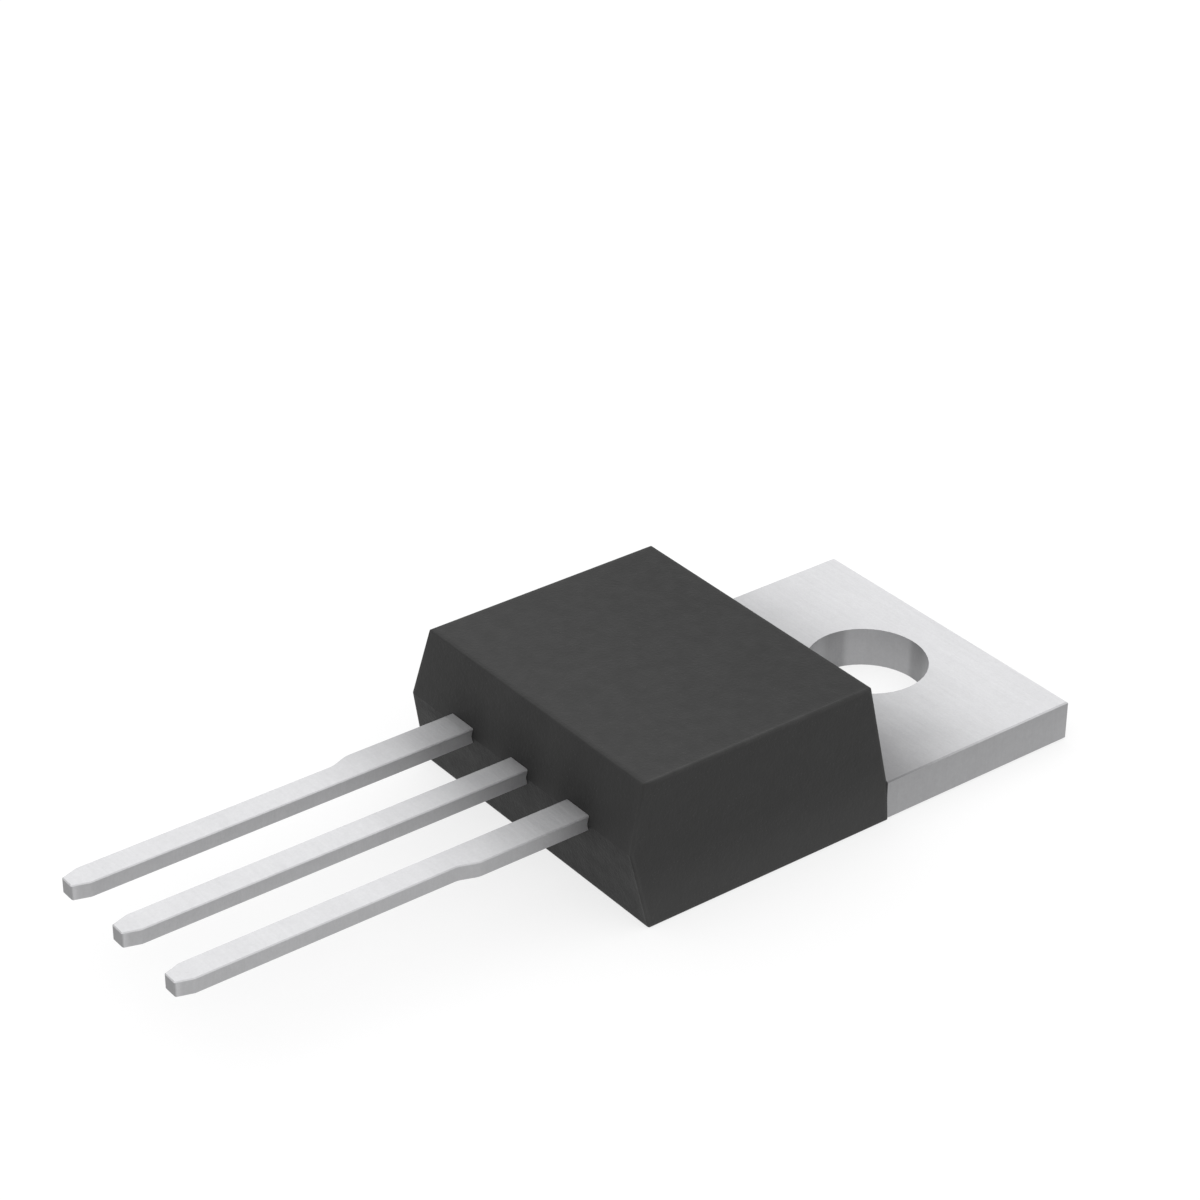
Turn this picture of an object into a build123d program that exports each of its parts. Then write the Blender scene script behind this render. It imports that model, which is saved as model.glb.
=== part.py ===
from build123d import *
import math
import os

# A three-lead power transistor with a screw-down metal tab: a moulded body around a stamped
# copper frame, a silicon die soldered to it, and bond wires to the two outer leads.
#
# Frame: millimetres. Z = 0 is the mounting back and +Z points to the front face. The leads run
# toward -Y. The origin is on the axis of the tab hole. Seen from the front with the leads
# pointing down, the leads are gate, drain and source from left to right.

# ---------------------------------------------------------------- driving dimensions

# Moulded body
BODY_THICKNESS = 4.40
BODY_LENGTH = 8.94              # from the tab's root to the parting line at the lead end
BACK_WIDTH = 10.42
FRONT_WIDTH = 9.72              # each long side is one drafted plane from back to front
LEAD_END_FRONT_SETBACK = 0.52
LEAD_END_BACK_SETBACK = 0.50
TAB_END_FRONT_SETBACK = 0.54
FRONT_EDGE_RADIUS = 0.06
BACK_EDGE_BREAK = 0.04

# Tab and its hole
TAB_THICKNESS = 1.25
TAB_WIDTH = 10.30
TAB_LENGTH = 6.90
TAB_EDGE_BREAK = 0.04
HOLE_DIAMETER = 3.60
HOLE_TO_TAB_END = 3.15

# Leads
LEAD_PITCH = 2.54
LEAD_LENGTH = 12.50             # from the parting line to the tip
LEAD_THICKNESS = 0.48
LEAD_WIDTH = 0.80
LEAD_PLANE_Z = 2.44             # middle of the leads' thickness, where the parting line is too
LEAD_EDGE_BREAK = 0.03
SHOULDER_WIDTH = 0.20           # added to the outer edge of each outer lead, near the body
SHOULDER_DISTANCE = 3.50        # from the parting line to where the shoulder starts to narrow
SHOULDER_SLOPE_LENGTH = 0.55
SHOULDER_RADIUS = 0.60
TIP_WIDTH = 0.48
TIP_TAPER_LENGTH = 0.50
TIP_CORNER_RADIUS = 0.06

# Header: the drain frame inside the moulding. It is coined thinner than the tab from behind, so
# that the moulding covers its back, and it is keyed into the moulding by a waist.
HEADER_THICKNESS = 0.80
HEADER_WIDTH = 8.40
HEADER_LENGTH = 6.00
HEADER_CORNER_RADIUS = 0.40
NECK_WIDTH = 9.40               # where the header goes over into the tab
NECK_LENGTH = 0.50
WAIST_WIDTH = 6.80
WAIST_LENGTH = 0.70
GROOVE_WIDTH = 0.30             # V groove across the header, which stops moisture's path
GROOVE_DEPTH = 0.15
GROOVE_FROM_ROOT = 1.50
RAMP_WIDTH = 1.20
RAMP_LENGTH = 1.20              # along Y, where the drain lead climbs to the plane of the leads
BEND_RADIUS = 0.60
RAMP_END_FROM_PARTING = 1.00    # where the ramp's width steps down to the lead's
STRIP_OVERLAP = 0.30            # how far each lead's strip runs into its wider inner end

# Bond posts: the wide inner ends of the gate and source leads, each pinned by an anchor hole
POST_INNER_X = 1.35
POST_LENGTH = 1.70
POST_FROM_PARTING = 0.85
POST_CORNER_RADIUS = 0.25
GATE_POST_WIDTH = 2.30
SOURCE_POST_WIDTH = 2.80
ANCHOR_DIAMETER = 0.60
ANCHOR_FROM_POST_REAR = 0.50

# Die and solder
DIE_WIDTH = 4.40
DIE_LENGTH = 3.40
DIE_THICKNESS = 0.28
DIE_FROM_ROOT = 3.70
DIE_METAL_THICKNESS = 0.02
DIE_METAL_MARGIN = 0.20
GATE_PAD_SIZE = 0.90
GATE_PAD_GAP = 0.12
SOLDER_THICKNESS = 0.05
SOLDER_MARGIN = 0.15

# Bond wires
GATE_WIRE_DIAMETER = 0.15
GATE_WIRE_PEAK_Z = 3.50         # where the loop's two straight runs would meet
SOURCE_WIRE_DIAMETER = 0.38
SOURCE_WIRE_PEAK_Z = 4.00
SOURCE_WIRE_SPACING = 1.10
BOND_FROM_POST_FRONT = 0.55
WIRE_PEAK_PLACE = 0.42          # these two as a share of the wire's span
WIRE_LOOP_RADIUS = 0.30
WEDGE_BOND_LENGTH = 2.2         # these three as multiples of the wire's diameter
WEDGE_BOND_WIDTH = 1.3
WIRE_HEEL_HEIGHT = 0.45

# ---------------------------------------------------------------- places worked out from them

TAB_ROOT_Y = HOLE_TO_TAB_END - TAB_LENGTH
PARTING_Y = TAB_ROOT_Y - BODY_LENGTH
LEAD_TIP_Y = PARTING_Y - LEAD_LENGTH
LEAD_TOP_Z = LEAD_PLANE_Z + LEAD_THICKNESS / 2
LEAD_BOTTOM_Z = LEAD_PLANE_Z - LEAD_THICKNESS / 2
HEADER_END_Y = TAB_ROOT_Y - HEADER_LENGTH
HEADER_BACK_Z = TAB_THICKNESS - HEADER_THICKNESS
POST_REAR_Y = PARTING_Y + POST_FROM_PARTING
POST_FRONT_Y = POST_REAR_Y + POST_LENGTH
DIE_Y = TAB_ROOT_Y - DIE_FROM_ROOT
DIE_BACK_Z = TAB_THICKNESS + SOLDER_THICKNESS
DIE_FRONT_Z = DIE_BACK_Z + DIE_THICKNESS
DIE_METAL_Z = DIE_FRONT_Z + DIE_METAL_THICKNESS


# ---------------------------------------------------------------- helpers

def prism(plane, points, half_depth):
    """A closed outline on a plane, extruded by the same depth to both sides."""
    outline = make_face(Polyline(*points, close=True))
    return extrude(plane * outline, half_depth, both=True)


def rectangle(x_low, x_high, y_low, y_high):
    """A flat rectangle given by its edges."""
    centre = Pos((x_low + x_high) / 2, (y_low + y_high) / 2)
    return centre * Rectangle(x_high - x_low, y_high - y_low)


def crosswise(width, y_low, y_high):
    """A flat rectangle across the centre line."""
    return rectangle(-width / 2, width / 2, y_low, y_high)


def round_corners(outline, radius, y_low, y_high):
    """Round the corners of a flat outline that lie between two places along Y."""
    corners = outline.vertices().filter_by(
        lambda vertex: y_low - 0.001 < vertex.Y < y_high + 0.001
    )
    return fillet(corners, radius)


# ---------------------------------------------------------------- moulded body

def body_block():
    """The body's form before rounding: a side profile cut by the two drafted long sides."""
    side_profile = [
        (TAB_ROOT_Y, 0),
        (TAB_ROOT_Y, TAB_THICKNESS),
        (TAB_ROOT_Y - TAB_END_FRONT_SETBACK, BODY_THICKNESS),
        (PARTING_Y + LEAD_END_FRONT_SETBACK, BODY_THICKNESS),
        (PARTING_Y, LEAD_PLANE_Z),
        (PARTING_Y + LEAD_END_BACK_SETBACK, 0),
    ]
    end_profile = [
        (-BACK_WIDTH / 2, 0),
        (BACK_WIDTH / 2, 0),
        (FRONT_WIDTH / 2, BODY_THICKNESS),
        (-FRONT_WIDTH / 2, BODY_THICKNESS),
    ]
    return prism(Plane.YZ, side_profile, BACK_WIDTH) & prism(Plane.XZ, end_profile, -PARTING_Y)


def outer_body():
    """The body's outer form: front edges and corners rounded, and the back's edges broken.

    The corners beside the tab stay square, because the mould shuts against the tab's sides there.
    """
    block = body_block()
    front_edges = block.faces().sort_by(Axis.Z)[-1].edges()
    corner_edges = block.edges().filter_by(
        lambda edge: abs(edge.tangent_at(0.5).Z) > 0.5 and edge.center().Y < TAB_ROOT_Y - 0.001
    )
    body = fillet(front_edges + corner_edges, FRONT_EDGE_RADIUS)
    back_edges = body.faces().sort_by(Axis.Z)[0].edges().sort_by(Axis.Y)[:-1]
    return chamfer(back_edges, BACK_EDGE_BREAK)


def moulded_body(inserts):
    """The moulding, which fills all the space around what it holds."""
    return outer_body() - inserts


# ---------------------------------------------------------------- leads and drain frame

def lead_outline(inner_y, shoulder_width):
    """A lead's outline from its tapered tip to inner_y, with any shoulder on its +X edge."""
    half_width = LEAD_WIDTH / 2
    half_tip = TIP_WIDTH / 2
    taper_y = LEAD_TIP_Y + TIP_TAPER_LENGTH
    wide_y = PARTING_Y - SHOULDER_DISTANCE
    narrow_y = wide_y - SHOULDER_SLOPE_LENGTH
    shoulder = [(half_width, narrow_y), (half_width + shoulder_width, wide_y)]
    outline = make_face(
        Polyline(
            (-half_width, taper_y),
            (-half_tip, LEAD_TIP_Y),
            (half_tip, LEAD_TIP_Y),
            (half_width, taper_y),
            *(shoulder if shoulder_width else []),
            (half_width + shoulder_width, inner_y),
            (-half_width, inner_y),
            close=True,
        )
    )
    outline = round_corners(outline, TIP_CORNER_RADIUS, LEAD_TIP_Y, LEAD_TIP_Y)
    if shoulder_width:
        outline = round_corners(outline, SHOULDER_RADIUS, narrow_y, wide_y)
    return outline


def lead_strip(inner_y, shoulder_width=0):
    """A lead's flat strip, with the edges of its outline broken."""
    strip = extrude(lead_outline(inner_y, shoulder_width), LEAD_THICKNESS)
    strip = Pos(0, 0, LEAD_BOTTOM_Z) * strip
    rims = strip.edges().group_by(Axis.Z)
    outside = (rims[0] + rims[-1]).filter_by(lambda edge: edge.center().Y < inner_y - 0.001)
    return chamfer(outside, LEAD_EDGE_BREAK)


def outer_lead(post_width):
    """The lead on the +X side: a flat strip that widens into its bond post in the moulding."""
    post_outer_x = POST_INNER_X + post_width
    post = rectangle(POST_INNER_X, post_outer_x, POST_REAR_Y, POST_FRONT_Y)
    post = fillet(post.vertices(), POST_CORNER_RADIUS)
    post -= Pos(LEAD_PITCH, POST_REAR_Y + ANCHOR_FROM_POST_REAR) * Circle(ANCHOR_DIAMETER / 2)
    post_plate = extrude(Pos(0, 0, LEAD_BOTTOM_Z) * post, LEAD_THICKNESS)
    strip = lead_strip(POST_REAR_Y + STRIP_OVERLAP / 2, SHOULDER_WIDTH)
    return post_plate + Pos(LEAD_PITCH, 0) * strip


def drain_plan():
    """The drain frame seen from the front, up to the strip of its lead."""
    neck_y = TAB_ROOT_Y - NECK_LENGTH
    waist_y = neck_y - WAIST_LENGTH
    header = crosswise(HEADER_WIDTH, HEADER_END_Y, waist_y)
    header = fillet(header.vertices(), HEADER_CORNER_RADIUS)
    return (
        crosswise(TAB_WIDTH, TAB_ROOT_Y, HOLE_TO_TAB_END)
        + crosswise(NECK_WIDTH, neck_y, TAB_ROOT_Y)
        + crosswise(WAIST_WIDTH, waist_y - HEADER_CORNER_RADIUS, neck_y)
        + header
        + crosswise(RAMP_WIDTH, PARTING_Y + RAMP_END_FROM_PARTING, HEADER_END_Y)
        - Circle(HOLE_DIAMETER / 2)
    )


def drain_section():
    """The drain frame seen from the side: the thick tab, the coined header and the bent ramp."""
    plate = prism(
        Plane.YZ,
        [
            (HOLE_TO_TAB_END, 0),
            (HOLE_TO_TAB_END, TAB_THICKNESS),
            (HEADER_END_Y, TAB_THICKNESS),
            (HEADER_END_Y, HEADER_BACK_Z),
            (TAB_ROOT_Y, HEADER_BACK_Z),
            (TAB_ROOT_Y, 0),
        ],
        TAB_WIDTH,
    )
    start = (0, HEADER_END_Y + BEND_RADIUS, TAB_THICKNESS - LEAD_THICKNESS / 2)
    path = FilletPolyline(
        start,
        (0, HEADER_END_Y, start[2]),
        (0, HEADER_END_Y - RAMP_LENGTH, LEAD_PLANE_Z),
        (0, PARTING_Y, LEAD_PLANE_Z),
        radius=BEND_RADIUS,
    )
    strip_end = Plane(start, x_dir=(1, 0, 0), z_dir=(0, -1, 0))
    ramp = sweep(strip_end * Rectangle(2 * RAMP_WIDTH, LEAD_THICKNESS), path=path)
    groove_y = TAB_ROOT_Y - GROOVE_FROM_ROOT
    groove = prism(
        Plane.YZ,
        [
            (groove_y - GROOVE_WIDTH / 2, TAB_THICKNESS),
            (groove_y, TAB_THICKNESS - GROOVE_DEPTH),
            (groove_y + GROOVE_WIDTH / 2, TAB_THICKNESS),
        ],
        TAB_WIDTH,
    )
    return plate + ramp - groove


def drain_tab():
    """The drain frame, one stamping: its plan cut through its bent section, and its lead."""
    frame = extrude(drain_plan(), LEAD_TOP_Z) & drain_section()
    tab_rims = [
        edge
        for edge in frame.edges().filter_by(GeomType.LINE)
        if edge.center().Y > TAB_ROOT_Y + 0.001 and edge.bounding_box().size.Z < 0.001
    ]
    frame = chamfer(tab_rims, TAB_EDGE_BREAK)
    return frame + lead_strip(PARTING_Y + RAMP_END_FROM_PARTING + STRIP_OVERLAP)


# ---------------------------------------------------------------- die, solder and wires

def die_solder():
    """The solder layer, with a fillet that spreads from the die's foot to the header."""
    foot = Rectangle(DIE_WIDTH + 2 * SOLDER_MARGIN, DIE_LENGTH + 2 * SOLDER_MARGIN)
    foot = fillet(foot.vertices(), SOLDER_MARGIN)
    layer = loft([foot, Pos(0, 0, SOLDER_THICKNESS) * Rectangle(DIE_WIDTH, DIE_LENGTH)])
    return Pos(0, DIE_Y, TAB_THICKNESS) * layer


def gate_pad_centre():
    """The gate pad lies in the die's corner nearest to the gate lead."""
    inset = DIE_METAL_MARGIN + GATE_PAD_SIZE / 2
    return -DIE_WIDTH / 2 + inset, DIE_Y - DIE_LENGTH / 2 + inset


def silicon_die():
    """The die, with its raised gate pad and the source metal around it."""
    metal_x = DIE_WIDTH / 2 - DIE_METAL_MARGIN
    metal_y = DIE_LENGTH / 2 - DIE_METAL_MARGIN
    gate_square = GATE_PAD_SIZE + 2 * GATE_PAD_GAP
    gate_place = Pos(*gate_pad_centre())
    source_metal = rectangle(-metal_x, metal_x, DIE_Y - metal_y, DIE_Y + metal_y)
    source_metal -= gate_place * Rectangle(gate_square, gate_square)
    metal = source_metal + gate_place * Rectangle(GATE_PAD_SIZE, GATE_PAD_SIZE)
    silicon = Pos(0, DIE_Y, (DIE_BACK_Z + DIE_FRONT_Z) / 2) * Box(
        DIE_WIDTH, DIE_LENGTH, DIE_THICKNESS
    )
    return silicon + extrude(Pos(0, 0, DIE_FRONT_Z) * metal, DIE_METAL_THICKNESS)


def bond_wire(diameter, peak_z, start, end):
    """A wire looped from the die's metal to a post, with a flattened wedge bond at each end."""
    across = Vector(*end) - Vector(*start)
    heel = WIRE_HEEL_HEIGHT * diameter
    loop_plane = Plane((start[0], start[1], 0), x_dir=across, z_dir=(across.Y, -across.X, 0))
    loop = loop_plane * FilletPolyline(
        (0, DIE_METAL_Z + heel),
        (WIRE_PEAK_PLACE * across.length, peak_z),
        (across.length, LEAD_TOP_Z + heel),
        radius=WIRE_LOOP_RADIUS * across.length,
    )
    wire = sweep(Plane(loop @ 0, z_dir=loop % 0) * Circle(diameter / 2), path=loop)
    bond = SlotOverall(WEDGE_BOND_LENGTH * diameter, WEDGE_BOND_WIDTH * diameter)
    bond = extrude(bond, 2 * heel)
    heading = math.degrees(math.atan2(across.Y, across.X))
    for place, height in ((start, DIE_METAL_Z), (end, LEAD_TOP_Z)):
        wire += Pos(place[0], place[1], height) * Rot(0, 0, heading) * bond
    return wire


def gate_wire():
    """The thin wire from the gate pad to the gate post, on the -X side."""
    post_x = -POST_INNER_X - GATE_POST_WIDTH / 2
    end = (post_x, POST_FRONT_Y - BOND_FROM_POST_FRONT)
    return bond_wire(GATE_WIRE_DIAMETER, GATE_WIRE_PEAK_Z, gate_pad_centre(), end)


def source_wire(side):
    """One of the two parallel heavy wires from the source metal to the source post."""
    offset = side * SOURCE_WIRE_SPACING / 2
    post_x = POST_INNER_X + SOURCE_POST_WIDTH / 2
    start = (DIE_WIDTH / 4 + offset, DIE_Y)
    end = (post_x + offset, POST_FRONT_Y - BOND_FROM_POST_FRONT)
    return bond_wire(SOURCE_WIRE_DIAMETER, SOURCE_WIRE_PEAK_Z, start, end)


# ---------------------------------------------------------------- nodes

def build_nodes():
    """Every piece under its node's name, the moulding last because it surrounds the rest."""
    nodes = {
        "drain_tab": drain_tab(),
        "gate_lead": mirror(outer_lead(GATE_POST_WIDTH), about=Plane.YZ),
        "source_lead": outer_lead(SOURCE_POST_WIDTH),
        "die_solder": die_solder(),
        "silicon_die": silicon_die(),
        "gate_wire": gate_wire(),
        "source_wire_1": source_wire(-1),
        "source_wire_2": source_wire(1),
    }
    nodes["moulded_body"] = moulded_body(list(nodes.values()))
    return nodes


os.makedirs("parts", exist_ok=True)
for name, shape in build_nodes().items():
    export_step(shape, f"parts/{name}.step")
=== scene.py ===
import math

import bmesh
import bpy
from bpy.props import FloatProperty, FloatVectorProperty, PointerProperty
from mathutils import Matrix, Vector


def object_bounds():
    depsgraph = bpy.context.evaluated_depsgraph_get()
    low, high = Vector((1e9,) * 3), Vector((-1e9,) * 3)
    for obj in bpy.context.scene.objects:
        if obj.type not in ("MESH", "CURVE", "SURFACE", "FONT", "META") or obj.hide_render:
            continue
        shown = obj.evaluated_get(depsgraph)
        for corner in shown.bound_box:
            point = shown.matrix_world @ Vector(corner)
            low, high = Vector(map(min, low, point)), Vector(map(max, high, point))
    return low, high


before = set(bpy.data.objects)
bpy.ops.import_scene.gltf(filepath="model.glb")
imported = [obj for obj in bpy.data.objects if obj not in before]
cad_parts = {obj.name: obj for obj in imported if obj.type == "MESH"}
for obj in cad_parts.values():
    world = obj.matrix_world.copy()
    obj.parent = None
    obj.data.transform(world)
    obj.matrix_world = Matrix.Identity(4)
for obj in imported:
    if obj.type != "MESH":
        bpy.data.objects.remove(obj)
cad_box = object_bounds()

bl_info = {
    "name": "Power MOSFET dresser",
    "version": (1, 0, 0),
    "blender": (4, 5, 0),
    "location": "3D View > Sidebar > MOSFET",
    "description": "Finishes the moulded body, the tinned frame and the chip, and sets the studio",
    "category": "Object",
}

# The package's own sizes, in millimetres. Z = 0 is the mounting back, +Z is the front, the leads
# run toward -Y, and the origin is on the axis of the tab's hole.
BODY_THICKNESS = 4.40
BODY_HALF_WIDTH_BACK = 5.21
BODY_HALF_WIDTH_FRONT = 4.86
TAB_ROOT_Y = -3.75
TAB_END_SETBACK = 0.54
TAB_THICKNESS = 1.25
PARTING_Y = -12.69
PARTING_Z = 2.44
LEAD_TIP_Y = -25.19
LEAD_END_FRONT_SETBACK = 0.52
LEAD_END_BACK_SETBACK = 0.50
LEAD_TOP_Z = 2.68
DIE_METAL_Z = 1.60
DIE_METAL_THICKNESS = 0.02
HOLE_RADIUS = 1.80
SHADED_BANDS_AXIS = (0.81, 0.59, 0.0)     # the line across the hole that the two bands of painted shade on its wall flank
LEAD_PITCH = 2.54

MILLIMETRES = 1000.0                # in a metre

# How much lighter (gain) or darker (loss) each mark makes the moulding, as a share of its colour:
# the edge gain is wear with a painted highlight, the foot gain painted floor bounce, and the front,
# back and strip losses painted shade.
EDGE_WEAR_AND_HIGHLIGHT_GAIN = 0.34
PAINTED_FLOOR_BOUNCE_GAIN = 0.62
FILLER_SPECK_GAIN = 0.55
FRONT_AT_TAB_LOSS = 0.38
BACK_LOSS = 0.60
STRIP_LOSS = 0.38

# How strong the painted shade beside the body is on the leads and on the back, then how much
# painted shade darkens the cut sides, tips, hole wall and chamfered edges, and the painted
# highlight beside the tips.
SHADE_SHARE_AT_LEADS = 0.78
BACK_SHADE_AT_TAB = 0.12
BACK_SHADE_AT_LEADS = 0.58
CUT_SIDE_LOSS = 0.15
TIP_LOSS = 0.42
BESIDE_TIP_HIGHLIGHT_LOSS = -0.15
HOLE_BAND_SHADE_LOSS = 0.22
BROKEN_EDGE_LOSS = 0.20

# Patches of a surface are this much smoother or rougher than its setting.
SMOOTHER = 0.04
ROUGHER = 0.05

WHITE = (1.0, 1.0, 1.0)
SENSOR_WIDTH = 36.0                 # millimetres
FLOOR_DROP = 0.00001                # metres from the mounting back down to the floor

LEAD_FRAME_NODES = ("drain_tab", "gate_lead", "source_lead")
WIRE_NODES = ("gate_wire", "source_wire_1", "source_wire_2")


# ---------------------------------------------------------------- settings

class MouldingSettings(bpy.types.PropertyGroup):
    """The black moulding compound of the body."""

    colour: FloatVectorProperty(
        name="Compound colour",
        description="Colour of the filled epoxy, which is matt and nearly black",
        subtype="COLOR", size=3, min=0.0, max=1.0, default=(0.0205, 0.0205, 0.0203),
    )
    grain_size: FloatProperty(
        name="Grain size",
        description="Width of one pit of the texture that the spark-eroded mould leaves",
        unit="LENGTH", min=0.00001, max=0.001, default=0.00010,
    )
    grain_depth: FloatProperty(
        name="Grain depth",
        description="Depth of that texture",
        unit="LENGTH", min=0.0, max=0.0001, default=0.000012,
    )
    roughness: FloatProperty(
        name="Roughness",
        description="Roughness of the matt faces",
        subtype="FACTOR", min=0.0, max=1.0, default=0.56,
    )
    # The edge line is wear with a painted highlight along the rounded edges.
    edge_width: FloatProperty(
        name="Edge width",
        description="Width of the line along the rounded edges that handling rubs smoother",
        unit="LENGTH", min=0.0, max=0.001, default=0.00016,
    )


class PlatingSettings(bpy.types.PropertyGroup):
    """The matt tin plating of the tab and the leads."""

    colour: FloatVectorProperty(
        name="Tin colour",
        description="Colour of the matt tin on the copper frame",
        subtype="COLOR", size=3, min=0.0, max=1.0, default=(0.55, 0.55, 0.56),
    )
    roughness: FloatProperty(
        name="Roughness",
        description="Roughness of the plated faces",
        subtype="FACTOR", min=0.0, max=1.0, default=0.48,
    )
    # The reach and strength below set painted shade on the metal beside the body.
    shade_reach: FloatProperty(
        name="Resin film reach",
        description="How far from the body the thin dull film reaches that the moulding leaves",
        unit="LENGTH", min=0.0001, max=0.02, default=0.0063,
    )
    shade_strength: FloatProperty(
        name="Resin film strength",
        description="How much that film darkens the metal right beside the body",
        subtype="FACTOR", min=0.0, max=1.0, default=0.88,
    )
    grain_size: FloatProperty(
        name="Crystal size",
        description="Width of one crystal of the tin",
        unit="LENGTH", min=0.00001, max=0.001, default=0.00007,
    )
    grain_depth: FloatProperty(
        name="Crystal depth",
        description="Height of the crystals above the joints between them",
        unit="LENGTH", min=0.0, max=0.0001, default=0.000004,
    )
    line_depth: FloatProperty(
        name="Rolling line depth",
        description="Depth of the faint lines that the rolling mill leaves across the strip",
        unit="LENGTH", min=0.0, max=0.0001, default=0.000004,
    )


class ChipSettings(bpy.types.PropertyGroup):
    """The pieces sealed in the moulding: the die, its solder and the bond wires."""

    silicon: FloatVectorProperty(
        name="Silicon colour",
        description="Colour of the bare, polished silicon",
        subtype="COLOR", size=3, min=0.0, max=1.0, default=(0.16, 0.17, 0.21),
    )
    die_metal: FloatVectorProperty(
        name="Die metal colour",
        description="Colour of the aluminium over the die's front",
        subtype="COLOR", size=3, min=0.0, max=1.0, default=(0.78, 0.78, 0.79),
    )
    solder: FloatVectorProperty(
        name="Solder colour",
        description="Colour of the solder under the die",
        subtype="COLOR", size=3, min=0.0, max=1.0, default=(0.50, 0.51, 0.53),
    )
    wire: FloatVectorProperty(
        name="Wire colour",
        description="Colour of the aluminium bond wires",
        subtype="COLOR", size=3, min=0.0, max=1.0, default=(0.74, 0.75, 0.76),
    )


class StudioSettings(bpy.types.PropertyGroup):
    """The floor, the light and the camera."""

    floor_colour: FloatVectorProperty(
        name="Floor colour",
        description="Colour of the plain floor",
        subtype="COLOR", size=3, min=0.0, max=1.0, default=(0.20, 0.20, 0.20),
    )
    floor_glow: FloatProperty(
        name="Floor glow",
        description="Light that comes up through the floor, as on a light table",
        min=0.0, max=2.0, default=0.72,
    )
    floor_bounce: FloatProperty(
        name="Floor bounce",
        description="The share of that light that reaches the package",
        subtype="FACTOR", min=0.0, max=1.0, default=0.79,
    )
    floor_size: FloatProperty(
        name="Floor size",
        description="Length of one side of the floor",
        unit="LENGTH", min=0.1, max=20.0, default=6.0,
    )
    sky_low: FloatProperty(
        name="Light at the horizon",
        description="Strength of the surrounding light level with the floor",
        min=0.0, max=10.0, default=0.45,
    )
    sky_high: FloatProperty(
        name="Light at half height",
        description="Strength of the surrounding light halfway up, where it is strongest",
        min=0.0, max=10.0, default=1.83,
    )
    sky_top: FloatProperty(
        name="Light overhead",
        description="Strength of the surrounding light straight above",
        min=0.0, max=10.0, default=1.25,
    )
    softbox_power: FloatProperty(
        name="Softbox power",
        description="Power of the large softbox beside the package",
        unit="POWER", min=0.0, max=100.0, default=0.12,
    )
    softbox_size: FloatProperty(
        name="Softbox size",
        description="Length of one side of the softbox",
        unit="LENGTH", min=0.01, max=5.0, default=0.24,
    )
    softbox_place: FloatVectorProperty(
        name="Softbox place",
        description="Where the middle of the softbox hangs",
        subtype="TRANSLATION", unit="LENGTH", size=3, default=(-0.05, -0.14, 0.26),
    )
    backdrop: FloatProperty(
        name="Backdrop",
        description="Brightness of the plain backdrop behind the floor",
        min=0.0, max=1.0, default=1.0,
    )
    camera_place: FloatVectorProperty(
        name="Camera place",
        description="Where the camera stands",
        subtype="TRANSLATION", unit="LENGTH", size=3, default=(0.062341, -0.057884, 0.053813),
    )
    camera_azimuth: FloatProperty(
        name="Camera azimuth",
        description="Turn of the camera around the package, from its lead end toward +X",
        subtype="ANGLE", default=math.radians(52.412),
    )
    camera_elevation: FloatProperty(
        name="Camera elevation",
        description="Height of the camera above the horizon",
        subtype="ANGLE", default=math.radians(30.83),
    )
    camera_roll: FloatProperty(
        name="Camera roll",
        description="Lean of the camera about its own line of sight",
        subtype="ANGLE", default=math.radians(0.41),
    )
    lens: FloatProperty(
        name="Lens",
        description="Focal length in millimetres, on a sensor 36 mm wide",
        min=10.0, max=500.0, default=102.1,
    )


# ---------------------------------------------------------------- node helpers

def connect(tree, value, socket):
    """Links a socket to another, or sets the other's value."""
    if isinstance(value, bpy.types.NodeSocket):
        tree.links.new(value, socket)
    else:
        socket.default_value = value


def add_node(tree, kind, inputs=None, **settings):
    """Adds a node with its settings and its named inputs."""
    node = tree.nodes.new(kind)
    for name, value in settings.items():
        setattr(node, name, value)
    for name, value in (inputs or {}).items():
        connect(tree, value, node.inputs[name])
    return node


def calculate(tree, operation, *values):
    """The result of a Math node on these values."""
    node = add_node(tree, "ShaderNodeMath", operation=operation)
    for value, socket in zip(values, node.inputs):
        connect(tree, value, socket)
    return node.outputs[0]


def spread(tree, value, low, high, to_low=0.0, to_high=1.0, smooth=False):
    """Maps a range of values onto another, and stops at its ends."""
    node = add_node(
        tree, "ShaderNodeMapRange",
        {"Value": value, "From Min": low, "From Max": high, "To Min": to_low, "To Max": to_high},
        interpolation_type="SMOOTHSTEP" if smooth else "LINEAR",
    )
    return node.outputs["Result"]


def scaled(tree, vector, factor):
    """A vector or colour times a number."""
    node = add_node(
        tree, "ShaderNodeVectorMath", {"Vector": vector, "Scale": factor}, operation="SCALE"
    )
    return node.outputs["Vector"]


def stretched(tree, vector, scale):
    """A position with each axis scaled on its own, so that a pattern is drawn out."""
    node = add_node(tree, "ShaderNodeMapping", {"Vector": vector, "Scale": scale})
    return node.outputs["Vector"]


def noise(tree, position, scale, detail=2.0, roughness=0.5):
    """The value of a noise pattern, from 0 to 1."""
    node = add_node(
        tree, "ShaderNodeTexNoise",
        {"Vector": position, "Scale": scale, "Detail": detail, "Roughness": roughness},
    )
    return node.outputs["Fac"]


def new_group(name, inputs, outputs):
    """An empty node group. Returns it, the sockets of its inputs and those of its outputs."""
    group = bpy.data.node_groups.new(name, "ShaderNodeTree")
    for label, kind, default in inputs:
        socket = group.interface.new_socket(label, in_out="INPUT", socket_type=kind)
        if default is not None:
            socket.default_value = default
    for label, kind in outputs:
        group.interface.new_socket(label, in_out="OUTPUT", socket_type=kind)
    entry = group.nodes.new("NodeGroupInput").outputs
    leave = group.nodes.new("NodeGroupOutput").inputs
    return group, entry, leave


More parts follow.
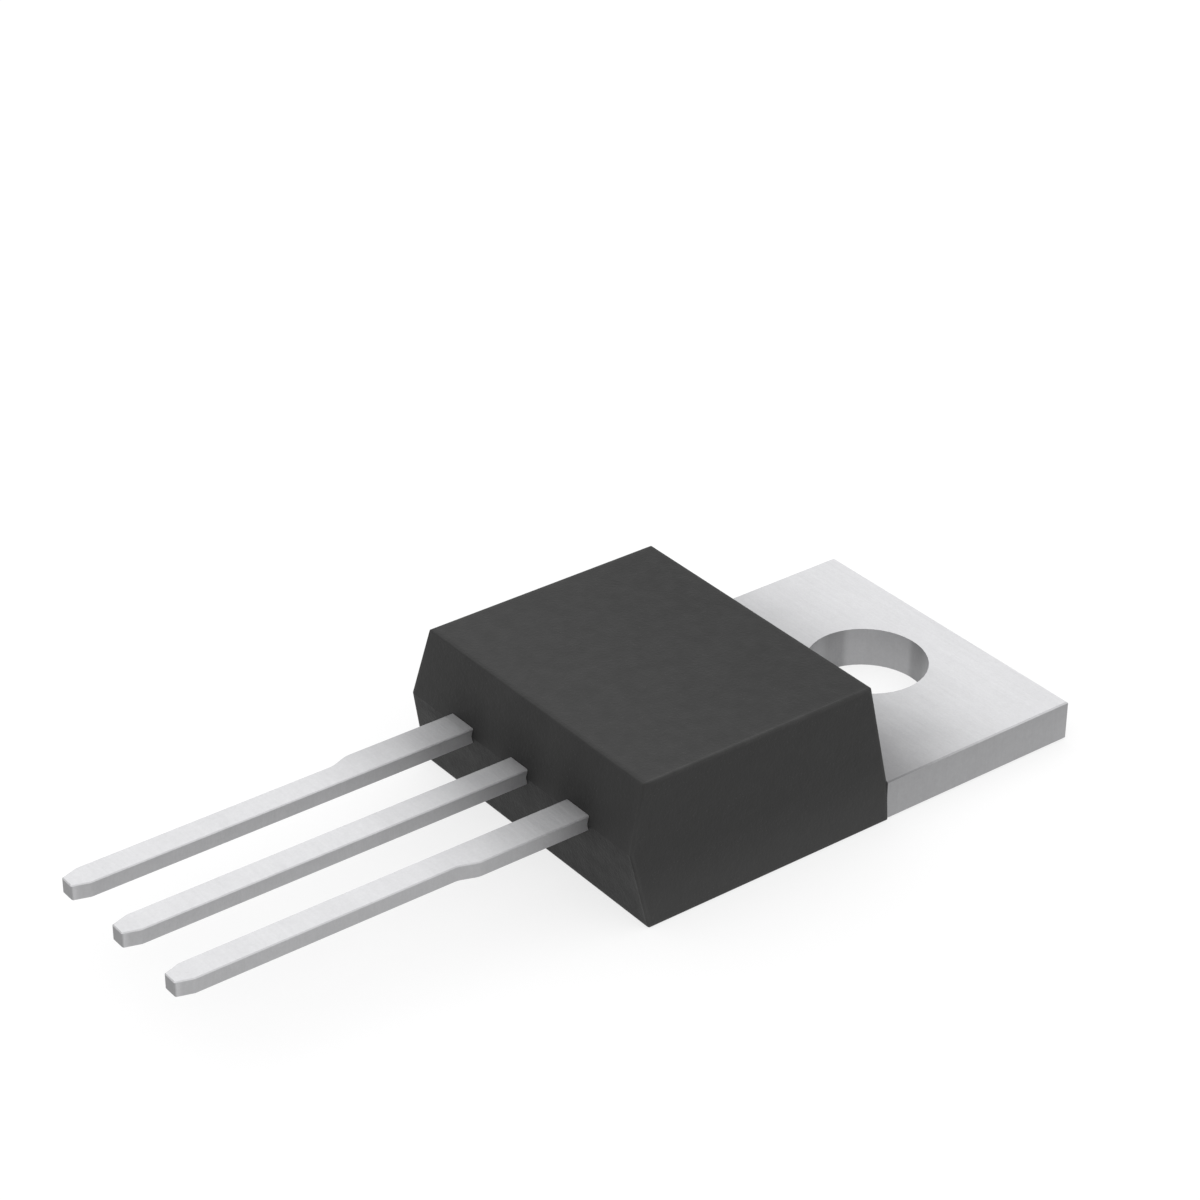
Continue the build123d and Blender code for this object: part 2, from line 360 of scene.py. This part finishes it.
def use_group(tree, group, **inputs):
    """Places a group in a tree; an input's name has a space where the keyword has a line."""
    node = tree.nodes.new("ShaderNodeGroup")
    node.node_tree = group
    for name, value in inputs.items():
        connect(tree, value, node.inputs[name.replace("_", " ")])
    return node.outputs


def position_in_millimetres(tree):
    """The piece's own coordinates, in millimetres."""
    place = add_node(tree, "ShaderNodeTexCoord").outputs["Object"]
    return scaled(tree, place, MILLIMETRES)


def separated(tree, vector):
    """The three coordinates of a vector."""
    return add_node(tree, "ShaderNodeSeparateXYZ", {"Vector": vector}).outputs


# ---------------------------------------------------------------- shared effects

VALUE = "NodeSocketFloat"
VECTOR = "NodeSocketVector"


def grain_group():
    """Fine surface grain: its height, and rare brighter specks."""
    group, entry, leave = new_group(
        "surface_grain",
        [("Position", VECTOR, None), ("Grains per mm", VALUE, 10.0), ("Speck size", VALUE, 0.2)],
        [("Height", VALUE), ("Specks", VALUE)],
    )
    fine = noise(group, entry["Position"], entry["Grains per mm"], 3.0, 0.62)
    coarse_scale = calculate(group, "MULTIPLY", entry["Grains per mm"], 0.37)
    coarse = noise(group, entry["Position"], coarse_scale, 1.0, 0.5)
    height = calculate(group, "MULTIPLY_ADD", coarse, 0.45, fine)
    connect(group, height, leave["Height"])
    cells = add_node(
        group, "ShaderNodeTexVoronoi",
        {"Vector": entry["Position"], "Scale": entry["Grains per mm"]},
        feature="F1",
    )
    near = calculate(group, "LESS_THAN", cells.outputs["Distance"], entry["Speck size"])
    chosen = calculate(group, "GREATER_THAN", separated(group, cells.outputs["Color"])[0], 0.80)
    connect(group, calculate(group, "MULTIPLY", near, chosen), leave["Specks"])
    return group


def variation_group():
    """Slow change of tone over a surface, as a factor around 1."""
    group, entry, leave = new_group(
        "slow_variation",
        [("Position", VECTOR, None), ("Spots per mm", VALUE, 0.5), ("Spread", VALUE, 0.05)],
        [("Factor", VALUE)],
    )
    tone = noise(group, entry["Position"], entry["Spots per mm"], 3.0, 0.55)
    centred = calculate(group, "MULTIPLY_ADD", tone, 2.0, -1.0)
    factor = calculate(group, "MULTIPLY_ADD", centred, entry["Spread"], 1.0)
    connect(group, factor, leave["Factor"])
    return group


def edge_group():
    """A soft line along the edges where two of three faces meet.

    Each input is a point's distance from one face. Two of them are small only at an edge, so
    the middle one of the three is the distance from the nearest edge.
    """
    group, entry, leave = new_group(
        "edge_line",
        [
            ("Side distance", VALUE, 1.0), ("End distance", VALUE, 1.0),
            ("Face distance", VALUE, 1.0), ("Width", VALUE, 0.1),
        ],
        [("Line", VALUE)],
    )
    side, end, face = (entry[f"{name} distance"] for name in ("Side", "End", "Face"))
    lower = calculate(group, "MINIMUM", side, end)
    upper = calculate(group, "MAXIMUM", side, end)
    middle = calculate(group, "MAXIMUM", lower, calculate(group, "MINIMUM", upper, face))
    share = calculate(group, "DIVIDE", middle, entry["Width"])
    line = spread(group, share, 0.2, 1.0, 1.0, 0.0, smooth=True)
    connect(group, line, leave["Line"])
    return group


def streak_group():
    """Fine lines drawn out along one axis, as rolling and stamping leave them."""
    group, entry, leave = new_group(
        "drawn_lines",
        [
            ("Position", VECTOR, None), ("Stretch", VECTOR, (1.0, 1.0, 1.0)),
            ("Lines per mm", VALUE, 8.0),
        ],
        [("Height", VALUE)],
    )
    drawn = add_node(
        group, "ShaderNodeVectorMath",
        {0: entry["Position"], 1: entry["Stretch"]}, operation="MULTIPLY",
    ).outputs["Vector"]
    connect(group, noise(group, drawn, entry["Lines per mm"], 3.0, 0.6), leave["Height"])
    return group


def shade_beside_body_group():
    """Painted shade on the metal, strongest beside the body and weaker where Flatness is low."""
    group, entry, leave = new_group(
        "painted_shade_beside_body",
        [
            ("Position", VECTOR, None), ("Flatness", VALUE, 1.0), ("Reach", VALUE, 6.0),
            ("Strength at tab", VALUE, 0.9), ("Strength at leads", VALUE, 0.6),
        ],
        [("Factor", VALUE)],
    )
    x, y, _ = separated(group, entry["Position"])
    past_tab_root = calculate(group, "SUBTRACT", y, TAB_ROOT_Y)
    past_lead_end = calculate(group, "SUBTRACT", PARTING_Y, y)
    inward = spread(group, calculate(group, "ABSOLUTE", x), 3.2, 5.1, 1.0, 0.86, smooth=True)
    near_wall_share = spread(group, past_lead_end, 0.3, 1.3, 0.5, 1.0)
    uneven = spread(group, noise(group, entry["Position"], 0.9, 3.0, 0.55), 0.2, 0.8, -0.12, 0.12)
    body_shades = []
    for distance, strength, share in (
        (past_tab_root, "Strength at tab", inward), (past_lead_end, "Strength at leads", near_wall_share),
    ):
        place = calculate(group, "ADD", distance, uneven)
        place = calculate(group, "DIVIDE", place, entry["Reach"])
        fading = spread(group, place, 0.0, 1.0, 1.0, 0.0)
        fading = calculate(group, "POWER", fading, 2.0)
        body_shade = calculate(group, "MULTIPLY", fading, entry[strength])
        outside = calculate(group, "GREATER_THAN", distance, -0.5)
        body_shade = calculate(group, "MULTIPLY", calculate(group, "MULTIPLY", body_shade, share), outside)
        body_shades.append(body_shade)
    total = calculate(group, "SMOOTH_MIN", calculate(group, "ADD", *body_shades), 0.64, 0.2)
    total = calculate(group, "MULTIPLY", total, entry["Flatness"])
    connect(group, calculate(group, "SUBTRACT", 1.0, total), leave["Factor"])
    return group


def shared_effects():
    """The five effects, made once and found again by name."""
    makers = {
        "painted_shade_beside_body": shade_beside_body_group,
        "surface_grain": grain_group, "slow_variation": variation_group,
        "edge_line": edge_group, "drawn_lines": streak_group,
    }
    return {name: bpy.data.node_groups.get(name) or make() for name, make in makers.items()}


# ---------------------------------------------------------------- materials

def new_material(name, **shader):
    """A material with one Principled shader. Returns it, its node tree and the shader."""
    material = bpy.data.materials.new(name)
    material.use_nodes = True
    tree = material.node_tree
    tree.nodes.clear()
    output = tree.nodes.new("ShaderNodeOutputMaterial")
    principled = tree.nodes.new("ShaderNodeBsdfPrincipled")
    for socket, value in shader.items():
        principled.inputs[socket.replace("_", " ")].default_value = value
    tree.links.new(principled.outputs["BSDF"], output.inputs["Surface"])
    return material, tree, principled


def bump(tree, height, depth, shader, below=None):
    """Raises a surface by a height pattern of this depth in metres, over any bump below it."""
    node = add_node(tree, "ShaderNodeBump", {"Height": height, "Distance": depth, "Strength": 1.0})
    if below is not None:
        tree.links.new(below, node.inputs["Normal"])
    tree.links.new(node.outputs["Normal"], shader.inputs["Normal"])
    return node.outputs["Normal"]


def body_distances(tree, position):
    """Distances inward from the body's side, end and front or back faces, in millimetres."""
    x, y, z = separated(tree, position)
    half_width = spread(
        tree, z, 0.0, BODY_THICKNESS, BODY_HALF_WIDTH_BACK, BODY_HALF_WIDTH_FRONT
    )
    side = calculate(tree, "SUBTRACT", half_width, calculate(tree, "ABSOLUTE", x))
    front_slope = LEAD_END_FRONT_SETBACK / (BODY_THICKNESS - PARTING_Z)
    back_slope = LEAD_END_BACK_SETBACK / PARTING_Z
    above = calculate(tree, "SUBTRACT", z, PARTING_Z)
    setback = calculate(
        tree, "MAXIMUM",
        calculate(tree, "MULTIPLY", above, front_slope),
        calculate(tree, "MULTIPLY", above, -back_slope),
    )
    lead_end = calculate(tree, "SUBTRACT", calculate(tree, "SUBTRACT", y, PARTING_Y), setback)
    tab_setback = spread(tree, z, TAB_THICKNESS, BODY_THICKNESS, 0.0, TAB_END_SETBACK)
    tab_end = calculate(tree, "SUBTRACT", calculate(tree, "SUBTRACT", TAB_ROOT_Y, y), tab_setback)
    end = calculate(tree, "MINIMUM", lead_end, tab_end)
    face = calculate(tree, "MINIMUM", z, calculate(tree, "SUBTRACT", BODY_THICKNESS, z))
    return side, end, face


def painted_lead_shade(tree, x, z, facing):
    """Painted shade on the lead end, most of all around the leads."""
    lead_end = spread(tree, facing[1], -0.9, -0.5, 1.0, 0.0)
    inner = spread(tree, calculate(tree, "ABSOLUTE", x), 3.4, 4.4, smooth=True)
    inner = calculate(tree, "SUBTRACT", 1.0, inner)
    from_lead = calculate(tree, "PINGPONG", x, LEAD_PITCH / 2)
    beside = spread(tree, from_lead, 0.3, 1.1, 1.0, 0.25, smooth=True)
    over = spread(tree, z, LEAD_TOP_Z, LEAD_TOP_Z + 1.3, 0.5, 0.12, smooth=True)
    upper = calculate(tree, "MULTIPLY", calculate(tree, "MULTIPLY", over, beside), inner)
    under = spread(tree, z, 1.4, PARTING_Z, 0.22, 0.76, smooth=True)
    lower = calculate(tree, "MULTIPLY", under, calculate(tree, "MULTIPLY_ADD", inner, 0.4, 0.6))
    is_upper = calculate(tree, "GREATER_THAN", z, PARTING_Z)
    both = add_node(
        tree, "ShaderNodeMix", {"Factor": is_upper, "A": lower, "B": upper}, data_type="FLOAT"
    ).outputs["Result"]
    return calculate(tree, "SUBTRACT", 1.0, calculate(tree, "MULTIPLY", lead_end, both))


def front_and_back_shade(tree, y, facing):
    """Painted shade: the front darker toward the tab, and a dark back."""
    on_front = spread(tree, facing[2], 0.6, 0.95)
    on_back = spread(tree, facing[2], -0.95, -0.6, BACK_LOSS, 0.0)
    front_tab_y = TAB_ROOT_Y - TAB_END_SETBACK
    darker = spread(tree, y, PARTING_Y + 0.6, front_tab_y, 0.0, FRONT_AT_TAB_LOSS)
    darker = calculate(tree, "MULTIPLY_ADD", on_front, darker, on_back)
    return calculate(tree, "SUBTRACT", 1.0, darker)


def edge_strip_shade(tree, y, facing):
    """Painted shade in a narrow strip along the front's edge over the leads."""
    front_end_y = PARTING_Y + LEAD_END_FRONT_SETBACK
    strip = spread(
        tree, y, front_end_y + 0.04, front_end_y + 0.22, STRIP_LOSS, 0.0, smooth=True
    )
    turned_up = spread(tree, facing[2], 0.4, 0.7)
    return calculate(tree, "SUBTRACT", 1.0, calculate(tree, "MULTIPLY", strip, turned_up))


def wear_and_highlight_reach(tree, y, z):
    """Where the edge line of wear and painted highlight reaches: everywhere but the front's edge
    over the leads.
    """
    away = spread(tree, y, PARTING_Y + 0.65, PARTING_Y + 1.2)
    below = spread(tree, z, PARTING_Z, BODY_THICKNESS - 0.4, 1.0, 0.0)
    return calculate(tree, "MAXIMUM", away, below)


def moulding_material(settings, effects):
    """Matt black compound: eroded-mould grain, filler specks, edges rubbed smoother with a painted
    highlight, and painted shade and painted floor bounce in its colour.
    """
    material, tree, shader = new_material("moulding_compound", IOR=1.5, Specular_IOR_Level=0.22)
    position = position_in_millimetres(tree)
    grain = use_group(
        tree, effects["surface_grain"], Position=position,
        Grains_per_mm=1.0 / (settings.grain_size * MILLIMETRES), Speck_size=0.16,
    )
    tone = use_group(
        tree, effects["slow_variation"], Position=position, Spots_per_mm=0.45, Spread=0.05
    )["Factor"]
    side, end, face = body_distances(tree, position)
    line = use_group(
        tree, effects["edge_line"], Side_distance=side, End_distance=end, Face_distance=face,
        Width=settings.edge_width * MILLIMETRES,
    )["Line"]
    broken = spread(tree, noise(tree, position, 1.6, 3.0, 0.6), 0.35, 0.65, 0.35, 1.0)
    x, y, z = separated(tree, position)
    # A lighter line along the rounded edges: wear, and a painted highlight.
    wear_and_highlight = calculate(tree, "MULTIPLY", line, broken)
    wear_and_highlight = calculate(tree, "MULTIPLY", wear_and_highlight, wear_and_highlight_reach(tree, y, z))
    lighter = calculate(tree, "MULTIPLY_ADD", wear_and_highlight, EDGE_WEAR_AND_HIGHLIGHT_GAIN, tone)
    # Painted floor bounce: the long sides lighter toward the back.
    near_back = spread(tree, z, 0.0, 2.2, 1.0, 0.18, smooth=True)
    painted_floor_bounce = calculate(tree, "MULTIPLY", near_back, spread(tree, side, 0.05, 0.4, 1.0, 0.0))
    lighter = calculate(tree, "MULTIPLY_ADD", painted_floor_bounce, PAINTED_FLOOR_BOUNCE_GAIN, lighter)
    facing = separated(tree, add_node(tree, "ShaderNodeTexCoord").outputs["Normal"])
    # Painted shade on the lead end, on the front toward the tab, on the back and in a strip along
    # the front's edge.
    lighter = calculate(tree, "MULTIPLY", lighter, painted_lead_shade(tree, x, z, facing))
    lighter = calculate(tree, "MULTIPLY", lighter, front_and_back_shade(tree, y, facing))
    lighter = calculate(tree, "MULTIPLY", lighter, edge_strip_shade(tree, y, facing))
    lighter = calculate(tree, "MULTIPLY_ADD", grain["Specks"], FILLER_SPECK_GAIN, lighter)
    connect(tree, scaled(tree, settings.colour, lighter), shader.inputs["Base Color"])
    matt = spread(
        tree, noise(tree, position, 2.2, 3.0, 0.6), 0.3, 0.7,
        settings.roughness - SMOOTHER, settings.roughness + ROUGHER,
    )
    connect(tree, calculate(tree, "MULTIPLY_ADD", wear_and_highlight, -0.10, matt), shader.inputs["Roughness"])
    bump(tree, grain["Height"], settings.grain_depth, shader)
    return material


def around_hole(tree, position):
    """The wall of the tab's hole, and two opposite bands of it that take painted shade."""
    level = stretched(tree, position, (1.0, 1.0, 0.0))
    reach = add_node(
        tree, "ShaderNodeVectorMath", {0: level}, operation="LENGTH"
    ).outputs["Value"]
    wall = calculate(tree, "LESS_THAN", reach, HOLE_RADIUS + 0.06)
    along = add_node(
        tree, "ShaderNodeVectorMath", {0: level, 1: SHADED_BANDS_AXIS}, operation="DOT_PRODUCT"
    ).outputs["Value"]
    sideways = calculate(tree, "DIVIDE", calculate(tree, "ABSOLUTE", along), HOLE_RADIUS)
    band = calculate(
        tree, "MULTIPLY",
        spread(tree, sideways, 0.49, 0.62, smooth=True),
        spread(tree, sideways, 0.76, 0.94, 1.0, 0.0, smooth=True),
    )
    return wall, calculate(tree, "MULTIPLY", wall, band)


def plating_material(settings, effects):
    """Matt tin over stamped copper: crystal grain, rolling lines, drawn lines on cut edges, and
    painted shade with a painted highlight in its colour.
    """
    material, tree, shader = new_material("tinned_copper", Metallic=1.0)
    position = position_in_millimetres(tree)
    grain = use_group(
        tree, effects["surface_grain"], Position=position,
        Grains_per_mm=1.0 / (settings.grain_size * MILLIMETRES), Speck_size=0.22,
    )
    rolled = use_group(
        tree, effects["drawn_lines"], Position=position,
        Stretch=(0.05, 1.0, 1.0), Lines_per_mm=9.0,
    )["Height"]
    cut = use_group(
        tree, effects["drawn_lines"], Position=position,
        Stretch=(1.0, 1.0, 0.07), Lines_per_mm=14.0,
    )["Height"]
    turned_up = separated(tree, add_node(tree, "ShaderNodeTexCoord").outputs["Normal"])[2]
    on_back = spread(tree, turned_up, -0.7, -0.3, 1.0, 0.0)
    upright = calculate(tree, "ABSOLUTE", turned_up)
    cut_side = spread(tree, upright, 0.3, 0.7, 1.0, 0.0)
    tone = use_group(
        tree, effects["slow_variation"], Position=position, Spots_per_mm=0.5, Spread=0.02
    )["Factor"]
    tone = calculate(tree, "MULTIPLY_ADD", grain["Specks"], 0.05, tone)
    lines = add_node(
        tree, "ShaderNodeMix", {"Factor": cut_side, "A": rolled, "B": cut}, data_type="FLOAT"
    ).outputs["Result"]
    tone = calculate(tree, "ADD", tone, spread(tree, lines, 0.3, 0.7, -0.019, 0.019))
    tone = calculate(tree, "ADD", tone, spread(tree, grain["Height"], 0.45, 1.0, -0.04, 0.04))
    _, y, z = separated(tree, position)
    on_tab = calculate(tree, "GREATER_THAN", y, TAB_ROOT_Y)
    on_tip = spread(tree, y, LEAD_TIP_Y, LEAD_TIP_Y + 0.05, 1.0, 0.0)
    beside_tip = spread(tree, y, LEAD_TIP_Y + 0.05, LEAD_TIP_Y + 0.2, 1.0, 0.0)
    hole_wall, shaded_bands = around_hole(tree, position)
    on_rim = calculate(tree, "SUBTRACT", on_tab, hole_wall)
    # Painted shade beside the body, weaker on the cut sides and on the back.
    less_on_sides = calculate(tree, "MULTIPLY_ADD", on_rim, 0.2, 0.7)
    flatness = calculate(tree, "SUBTRACT", 1.0, calculate(tree, "MULTIPLY", cut_side, less_on_sides))
    at_tab = settings.shade_strength
    at_leads = SHADE_SHARE_AT_LEADS * settings.shade_strength
    body_shade = use_group(
        tree, effects["painted_shade_beside_body"], Position=position, Flatness=flatness,
        Reach=settings.shade_reach * MILLIMETRES,
        Strength_at_tab=spread(tree, on_back, 0.0, 1.0, at_tab, BACK_SHADE_AT_TAB),
        Strength_at_leads=spread(tree, on_back, 0.0, 1.0, at_leads, BACK_SHADE_AT_LEADS),
    )["Factor"]
    tone = calculate(tree, "MULTIPLY", tone, body_shade)
    # Painted shade on the cut sides, darker toward the front, on the tips and in two bands of the
    # hole wall, and a painted highlight beside the tips.
    darker_toward_front = spread(tree, z, 0.0, TAB_THICKNESS, 0.05, 0.15)
    loss = calculate(tree, "MULTIPLY_ADD", on_rim, darker_toward_front, CUT_SIDE_LOSS)
    loss = calculate(tree, "MULTIPLY_ADD", on_tip, TIP_LOSS, loss)
    loss = calculate(tree, "MULTIPLY_ADD", beside_tip, BESIDE_TIP_HIGHLIGHT_LOSS, loss)
    loss = calculate(tree, "MULTIPLY_ADD", shaded_bands, HOLE_BAND_SHADE_LOSS, loss)
    side_and_edge_shade = calculate(tree, "MULTIPLY", cut_side, loss)
    # Painted shade on the chamfered edges.
    not_flat = spread(tree, upright, 0.75, 0.95, 1.0, 0.0)
    broken_edge = calculate(tree, "SUBTRACT", not_flat, cut_side)
    side_and_edge_shade = calculate(tree, "MULTIPLY_ADD", broken_edge, BROKEN_EDGE_LOSS, side_and_edge_shade)
    tone = calculate(tree, "MULTIPLY", tone, calculate(tree, "SUBTRACT", 1.0, side_and_edge_shade))
    connect(tree, scaled(tree, settings.colour, tone), shader.inputs["Base Color"])
    smear = noise(tree, stretched(tree, position, (0.4, 1.0, 1.0)), 1.1, 4.0, 0.6)
    matt = spread(
        tree, smear, 0.3, 0.7, settings.roughness - SMOOTHER, settings.roughness + ROUGHER
    )
    connect(tree, calculate(tree, "MULTIPLY_ADD", cut_side, 0.04, matt), shader.inputs["Roughness"])
    drawn = bump(tree, lines, settings.line_depth, shader)
    bump(tree, grain["Height"], settings.grain_depth, shader, below=drawn)
    return material


def die_material(settings, effects):
    """Polished silicon with grained aluminium over its front."""
    material, tree, shader = new_material("silicon", Metallic=0.85)
    position = position_in_millimetres(tree)
    grain = use_group(
        tree, effects["surface_grain"], Position=position, Grains_per_mm=40.0, Speck_size=0.2
    )
    tone = use_group(
        tree, effects["slow_variation"], Position=position, Spots_per_mm=1.2, Spread=0.05
    )["Factor"]
    height = separated(tree, position)[2]
    metal = spread(tree, height, DIE_METAL_Z - DIE_METAL_THICKNESS, DIE_METAL_Z - 0.001)
    blend = add_node(
        tree, "ShaderNodeMix",
        {"Factor": metal, "A": (*settings.silicon, 1.0), "B": (*settings.die_metal, 1.0)},
        data_type="RGBA",
    )
    connect(tree, scaled(tree, blend.outputs["Result"], tone), shader.inputs["Base Color"])
    connect(tree, spread(tree, metal, 0.0, 1.0, 0.14, 0.38), shader.inputs["Roughness"])
    bump(tree, grain["Height"], 0.0000006, shader)
    return material


def soft_metal_material(name, colour, roughness, grains, depth, effects):
    """A dull metal with a fine grain, for the solder and the wires."""
    material, tree, shader = new_material(name, Metallic=1.0)
    position = position_in_millimetres(tree)
    grain = use_group(
        tree, effects["surface_grain"], Position=position, Grains_per_mm=grains, Speck_size=0.2
    )
    tone = use_group(
        tree, effects["slow_variation"], Position=position, Spots_per_mm=1.5, Spread=0.06
    )["Factor"]
    connect(tree, scaled(tree, colour, tone), shader.inputs["Base Color"])
    matt = spread(tree, noise(tree, position, 5.0), 0.3, 0.7, roughness - 0.05, roughness + 0.06)
    connect(tree, matt, shader.inputs["Roughness"])
    bump(tree, grain["Height"], depth, shader)
    return material


def dress(nodes, material):
    """Gives a CAD node's material slots this material."""
    for name in nodes:
        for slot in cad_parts[name].material_slots:
            slot.material = material


# ---------------------------------------------------------------- stage

def lay_floor(settings):
    """A plain floor just under the package."""
    mesh = bpy.data.meshes.new("studio_floor")
    shape = bmesh.new()
    bmesh.ops.create_grid(shape, x_segments=1, y_segments=1, size=settings.floor_size / 2)
    bmesh.ops.translate(shape, verts=shape.verts, vec=(0.0, 0.0, cad_box[0].z - FLOOR_DROP))
    shape.to_mesh(mesh)
    shape.free()
    floor = bpy.data.objects.new("studio_floor", mesh)
    bpy.context.scene.collection.objects.link(floor)
    material, tree, shader = new_material("studio_floor", Roughness=0.9, Specular_IOR_Level=0.2)
    shader.inputs["Base Color"].default_value = (*settings.floor_colour, 1.0)
    shader.inputs["Emission Strength"].default_value = settings.floor_glow
    seen = tree.nodes.new("ShaderNodeLightPath").outputs["Is Camera Ray"]
    glow = spread(tree, seen, 0.0, 1.0, settings.floor_bounce, 1.0)
    connect(tree, scaled(tree, WHITE, glow), shader.inputs["Emission Color"])
    mesh.materials.append(material)


def light_surroundings(settings):
    """Soft light from all round that grows toward the top, and a plain backdrop."""
    world = bpy.data.worlds.new("studio_light")
    bpy.context.scene.world = world
    world.use_nodes = True
    tree = world.node_tree
    tree.nodes.clear()
    output = tree.nodes.new("ShaderNodeOutputWorld")
    toward = add_node(tree, "ShaderNodeTexCoord").outputs["Generated"]
    rise = separated(tree, toward)[2]
    strength = spread(tree, rise, 0.0, 0.75, settings.sky_low, settings.sky_high, smooth=True)
    overhead = spread(tree, rise, 0.7, 1.0, 1.0, settings.sky_top / settings.sky_high, smooth=True)
    strength = calculate(tree, "MULTIPLY", strength, overhead)
    white = (*WHITE, 1.0)
    sky = add_node(tree, "ShaderNodeBackground", {"Color": white, "Strength": strength})
    backdrop = add_node(
        tree, "ShaderNodeBackground", {"Color": white, "Strength": settings.backdrop}
    )
    seen = add_node(tree, "ShaderNodeLightPath").outputs["Is Camera Ray"]
    mix = add_node(tree, "ShaderNodeMixShader", {"Fac": seen})
    tree.links.new(sky.outputs[0], mix.inputs[1])
    tree.links.new(backdrop.outputs[0], mix.inputs[2])
    tree.links.new(mix.outputs[0], output.inputs["Surface"])


def hang_softbox(settings):
    """One large soft lamp, turned toward the package."""
    data = bpy.data.lights.new("softbox", "AREA")
    data.energy = settings.softbox_power
    data.size = settings.softbox_size
    lamp = bpy.data.objects.new("softbox", data)
    place = Vector(settings.softbox_place)
    turn = (-place).to_track_quat("-Z", "Y").to_matrix().to_4x4()
    lamp.matrix_world = Matrix.Translation(place) @ turn
    lamp.visible_camera = False
    bpy.context.scene.collection.objects.link(lamp)


def set_camera(settings):
    """The camera, from its place, its two angles and its roll."""
    azimuth = settings.camera_azimuth
    elevation = settings.camera_elevation
    away = Vector((
        math.sin(azimuth) * math.cos(elevation),
        -math.cos(azimuth) * math.cos(elevation),
        math.sin(elevation),
    ))
    right = Vector((math.cos(azimuth), math.sin(azimuth), 0.0))
    turn = Matrix((right, away.cross(right), away)).transposed()
    turn = turn @ Matrix.Rotation(settings.camera_roll, 3, "Z")
    data = bpy.data.cameras.new("camera")
    data.sensor_width = SENSOR_WIDTH
    data.lens = settings.lens
    data.clip_start = 0.001
    data.clip_end = 50.0
    camera = bpy.data.objects.new("camera", data)
    camera.matrix_world = Matrix.Translation(settings.camera_place) @ turn.to_4x4()
    bpy.context.scene.collection.objects.link(camera)
    bpy.context.scene.camera = camera


# ---------------------------------------------------------------- operators

class MOSFET_OT_finish_body(bpy.types.Operator):
    """Give the moulded body its matt compound"""

    bl_idname = "mosfet.finish_body"
    bl_label = "Finish the moulded body"

    def execute(self, context):
        material = moulding_material(context.scene.mosfet_moulding, shared_effects())
        dress(["moulded_body"], material)
        return {"FINISHED"}


class MOSFET_OT_finish_frame(bpy.types.Operator):
    """Plate the tab and the three leads with matt tin"""

    bl_idname = "mosfet.finish_frame"
    bl_label = "Plate the tab and leads"

    def execute(self, context):
        material = plating_material(context.scene.mosfet_plating, shared_effects())
        dress(LEAD_FRAME_NODES, material)
        return {"FINISHED"}


class MOSFET_OT_finish_chip(bpy.types.Operator):
    """Finish the die and the solder under it"""

    bl_idname = "mosfet.finish_chip"
    bl_label = "Finish the die and solder"

    def execute(self, context):
        settings = context.scene.mosfet_chip
        effects = shared_effects()
        dress(["silicon_die"], die_material(settings, effects))
        solder = soft_metal_material("solder", settings.solder, 0.42, 18.0, 0.000002, effects)
        dress(["die_solder"], solder)
        return {"FINISHED"}


class MOSFET_OT_finish_wires(bpy.types.Operator):
    """Finish the three bond wires"""

    bl_idname = "mosfet.finish_wires"
    bl_label = "Finish the bond wires"

    def execute(self, context):
        colour = context.scene.mosfet_chip.wire
        effects = shared_effects()
        wire = soft_metal_material("bond_wire", colour, 0.30, 30.0, 0.000001, effects)
        dress(WIRE_NODES, wire)
        return {"FINISHED"}


class MOSFET_OT_set_stage(bpy.types.Operator):
    """Lay the floor, light it softly and place the camera"""

    bl_idname = "mosfet.set_stage"
    bl_label = "Set the studio"

    def execute(self, context):
        settings = context.scene.mosfet_studio
        lay_floor(settings)
        light_surroundings(settings)
        hang_softbox(settings)
        set_camera(settings)
        context.scene.view_settings.view_transform = "Standard"
        return {"FINISHED"}


class MOSFET_PT_panel(bpy.types.Panel):
    """The package's finishes and its studio"""

    bl_idname = "MOSFET_PT_panel"
    bl_label = "Power MOSFET"
    bl_space_type = "VIEW_3D"
    bl_region_type = "UI"
    bl_category = "MOSFET"

    def draw(self, context):
        scene = context.scene
        rows = (
            (scene.mosfet_moulding, ("mosfet.finish_body",)),
            (scene.mosfet_plating, ("mosfet.finish_frame",)),
            (scene.mosfet_chip, ("mosfet.finish_chip", "mosfet.finish_wires")),
            (scene.mosfet_studio, ("mosfet.set_stage",)),
        )
        for settings, operators in rows:
            box = self.layout.box()
            for name in type(settings).__annotations__:
                box.prop(settings, name)
            for operator in operators:
                box.operator(operator)


SETTINGS = {
    "mosfet_moulding": MouldingSettings,
    "mosfet_plating": PlatingSettings,
    "mosfet_chip": ChipSettings,
    "mosfet_studio": StudioSettings,
}
OPERATORS = (
    MOSFET_OT_finish_body,
    MOSFET_OT_finish_frame,
    MOSFET_OT_finish_chip,
    MOSFET_OT_finish_wires,
    MOSFET_OT_set_stage,
)


def register():
    """Makes the settings, the operators and the panel known to Blender."""
    for cls in (*SETTINGS.values(), *OPERATORS, MOSFET_PT_panel):
        bpy.utils.register_class(cls)
    for name, cls in SETTINGS.items():
        setattr(bpy.types.Scene, name, PointerProperty(type=cls))


def unregister():
    """Takes them away again."""
    for name in SETTINGS:
        delattr(bpy.types.Scene, name)
    for cls in reversed((*SETTINGS.values(), *OPERATORS, MOSFET_PT_panel)):
        bpy.utils.unregister_class(cls)


def main():
    """Registers the add-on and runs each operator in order."""
    register()
    bpy.ops.mosfet.finish_body()
    bpy.ops.mosfet.finish_frame()
    bpy.ops.mosfet.finish_chip()
    bpy.ops.mosfet.finish_wires()
    bpy.ops.mosfet.set_stage()
    bpy.context.view_layer.update()


if __name__ == "__main__":
    main()
